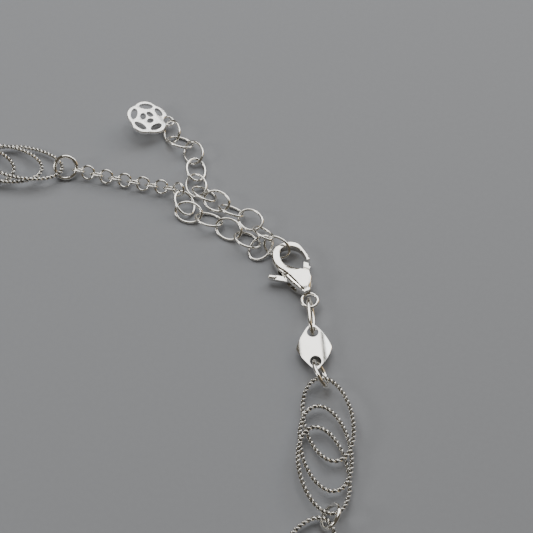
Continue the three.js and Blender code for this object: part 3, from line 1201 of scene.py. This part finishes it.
    def lever(self) -> bpy.types.Object:
        """Makes the lever with its gate and thumb tab.

        Returns:
            The lever.
        """
        hub = self.post(self.hub_radius, self.lever_low, self.lever_high, self.lever_edge)
        gate_angle = (self.gate_from + self.gate_to) / 2
        parts = [
            self.arm(gate_angle, self.gate_outer - self.gate_inset, self.gate_arm),
            self.arm(self.thumb_angle, self.thumb_reach, self.thumb_arm),
            self.gate(),
            self.thumb_tab(),
        ]
        Bench.combine(hub, parts, "UNION")
        Bench.combine(hub, [self.post(self.pin_radius + self.pin_play, 0, self.thick)], "DIFFERENCE")
        return hub

    def build(self, dresser: Dresser) -> None:
        """Makes the three pieces and sets them in place.

        Args:
            dresser: gives each piece its finish.
        """
        pose = self.pose()
        pin = self.post(self.pin_radius, self.pin_low, self.pin_high, self.lever_edge)
        pieces = (
            (self.body(), "clasp_body", Body.BRACELET),
            (self.lever(), "clasp_lever", Body.LEVER),
            (pin, "clasp_pin", Body.BRACELET),
        )
        for piece, node, body in pieces:
            Bench.set_down(piece, pose)
            dresser.dress(piece, node, Slot.POLISHED, body)


@dataclass
class Tag:
    """Bare arched tag with a hole at each end."""

    heading: float = -86
    lift: float = 0.64
    half_length: float = 3.2
    half_width: float = 2.0
    squareness: float = 1.28
    thick: float = 0.4
    arch: float = 0.4
    hole_reach: float = 2.0
    hole_radius: float = 0.72
    hole_steps: int = 40
    cut_low: float = -1
    cut_high: float = 2
    edge: float = 0.07
    edge_segments: int = 2
    weld: float = 1e-5
    grid: int = 48

    def outlined(self, place: Vector) -> Vector:
        """Rounds a square grid to the tag's outline and arches it.

        Args:
            place: a point of the grid, which runs from -1 to 1 both ways.

        Returns:
            Where the point goes.
        """
        u, v = place.x, place.y
        disc = Vector((u * math.sqrt(1 - v * v / 2), v * math.sqrt(1 - u * u / 2)))
        if disc.length > 0:
            way = disc.normalized()
            power = self.squareness
            size = abs(way.x / self.half_length) ** power + abs(way.y / self.half_width) ** power
            disc *= size ** (-1 / power)
        radius = (self.half_width**2 + self.arch**2) / (2 * self.arch)
        return Vector((disc.x, disc.y, math.sqrt(radius**2 - disc.y**2) - radius + self.arch))

    def build(self, dresser: Dresser) -> None:
        """Makes the tag and sets it in place.

        Args:
            dresser: gives it its finish.
        """
        bpy.ops.object.select_all(action="DESELECT")
        bpy.ops.mesh.primitive_grid_add(x_subdivisions=self.grid, y_subdivisions=self.grid, size=2)
        sheet = bpy.context.object
        Bench.move(sheet, self.outlined)
        Bench.modify(sheet, "SOLIDIFY", thickness=self.thick, offset=1)
        Bench.weld(sheet, self.weld)
        tools = []
        for reach in (-self.hole_reach, self.hole_reach):
            outline = circle_outline(self.hole_radius, self.hole_steps, (reach, 0))
            tools.append(Bench.loft(straight_layers(outline, self.cut_low, self.cut_high)))
        Bench.combine(sheet, tools, "DIFFERENCE")
        Bench.modify(
            sheet, "BEVEL", width=self.edge, segments=self.edge_segments, limit_method="ANGLE",
            angle_limit=math.radians(BEVEL_ANGLE),
        )
        middle = Frame.middle("tag")
        Bench.set_down(sheet, Matrix.Translation((middle.x, middle.y, self.lift)) @ turned(self.heading))
        dresser.dress(sheet, "tag", Slot.POLISHED)


@dataclass(frozen=True)
class Lamp:
    """A soft square light: its place from the aim and its side in millimetres, its watts and its colour."""

    name: str
    place: tuple[float, float, float]
    size: float
    power: float
    colour: tuple[float, float, float]


@dataclass
class Studio:
    """Floor, soft lights and camera, with places and sizes in millimetres."""

    aim_from_pin: Point = (-4.2152, 3.0144)
    distance: float = 152.5
    elevation: float = 57.6
    focal_pixels: float = 1200
    picture: int = 533
    sensor: float = 36
    clip_start: float = 5
    clip_end: float = 10000
    floor_size: float = 1600
    world_colour: tuple[float, float, float] = (1.0, 0.88, 0.68)
    world_strength: float = 0.085
    lamps: tuple[Lamp, ...] = (
        Lamp("window", (-30, 210, 320), size=350, power=1.15, colour=(1.0, 0.995, 0.98)),
        Lamp("ceiling", (260, 260, 260), size=200, power=0.5, colour=(0.95, 0.98, 1.0)),
        Lamp("near_card", (-260, -60, 150), size=80, power=0.16, colour=(1.0, 0.98, 0.94)),
        Lamp("wood_wall", (330, 150, 150), size=170, power=0.14, colour=(1.0, 0.72, 0.38)),
    )

    def aim(self) -> Vector:
        """The point on the floor in the middle of the picture, in metres."""
        pin = Frame.middle("clasp_pin")
        return Vector((pin.x + self.aim_from_pin[0], pin.y + self.aim_from_pin[1], 0)) / MILLIMETRES

    def camera(self) -> None:
        """Sets up the camera."""
        data = bpy.data.cameras.new("camera")
        data.sensor_width = self.sensor
        data.lens = self.sensor * self.focal_pixels / self.picture
        data.clip_start = self.clip_start / MILLIMETRES
        data.clip_end = self.clip_end / MILLIMETRES
        camera = bpy.data.objects.new("camera", data)
        bpy.context.scene.collection.objects.link(camera)
        tilt = math.radians(self.elevation)
        back = Vector((0, -math.cos(tilt), math.sin(tilt)))
        camera.location = self.aim() + back * self.distance / MILLIMETRES
        camera.rotation_euler = (math.pi / 2 - tilt, 0, 0)
        bpy.context.scene.camera = camera

    def floor(self) -> None:
        """Lays the board."""
        bpy.ops.object.select_all(action="DESELECT")
        bpy.ops.mesh.primitive_plane_add(size=self.floor_size / MILLIMETRES)
        board = bpy.context.object
        board.name = "board"
        board.data.materials.append(BoardFinish().material())

    def hang(self, lamp: Lamp) -> None:
        """Hangs a soft square light that faces the bracelet.

        Args:
            lamp: the light.
        """
        data = bpy.data.lights.new(lamp.name, "AREA")
        data.size = lamp.size / MILLIMETRES
        data.energy = lamp.power
        data.color = lamp.colour
        light = bpy.data.objects.new(lamp.name, data)
        bpy.context.scene.collection.objects.link(light)
        light.location = self.aim() + Vector(lamp.place) / MILLIMETRES
        light.rotation_euler = (self.aim() - light.location).to_track_quat("-Z", "Y").to_euler()

    def build(self) -> None:
        """Makes the camera, the floor and the light."""
        self.camera()
        self.floor()
        world = bpy.data.worlds.new("soft_room")
        world.use_nodes = True
        background = world.node_tree.nodes["Background"].inputs
        background["Color"].default_value = (*self.world_colour, 1)
        background["Strength"].default_value = self.world_strength
        bpy.context.scene.world = world
        for lamp in self.lamps:
            self.hang(lamp)


FINISHES = {
    Slot.POLISHED: SilverFinish(
        "polished_silver", bright=(0.93, 0.92, 0.89), tarnish_and_shade=(0.62, 0.58, 0.5), tarnish_amount=0.35,
        gloss_low=0.07, gloss_high=0.2, cloud=0.9, grain=0.05, scratch=0.08,
    ),
    Slot.TWISTED: SilverFinish(
        # near-black colour: a little random tarnish, and painted shade in the grooves between the strands
        "twisted_silver", bright=(0.96, 0.95, 0.92), tarnish_and_shade=(0.06, 0.05, 0.035), tarnish_amount=0.05,
        gloss_low=0.08, gloss_high=0.18, cloud=0.7, grain=0.05, scratch=0.08, painted_groove_shade=0.75,
    ),
    Slot.CAST: SilverFinish(
        "cast_silver", bright=(0.95, 0.945, 0.93), tarnish_and_shade=(0.75, 0.73, 0.7), tarnish_amount=0.3,
        gloss_low=0.22, gloss_high=0.36, cloud=0.6, grain=0.08, scratch=0.25,
    ),
}


def main() -> None:
    """Builds the pieces and the studio."""
    logging.basicConfig(level=logging.INFO, format="%(message)s")
    dresser = Dresser(FINISHES)
    Studio().build()
    families = (
        RingFamily(numbered("jump_ring", FILIGREE_LINKS), length=3.45, width=3.45, wire=0.52),
        RingFamily(numbered("rolo_link", ROLO_LINKS), length=2.05, width=2.05, wire=0.32, resolution=10),
        RingFamily(
            numbered("extension_link", EXTENSION_LINKS), length=3.9, width=3.0, wire=0.36, joint_angle=90
        ),
        RingFamily(["clasp_ring"], length=5.4, width=2.4, wire=0.5),
        RingFamily(["tag_ring"], length=4.1, width=3.0, wire=0.52),
    )
    for maker in (*families, FiligreeLinks(), Flower(), Clasp(), Tag()):
        maker.build(dresser)


if __name__ == "__main__":
    main()
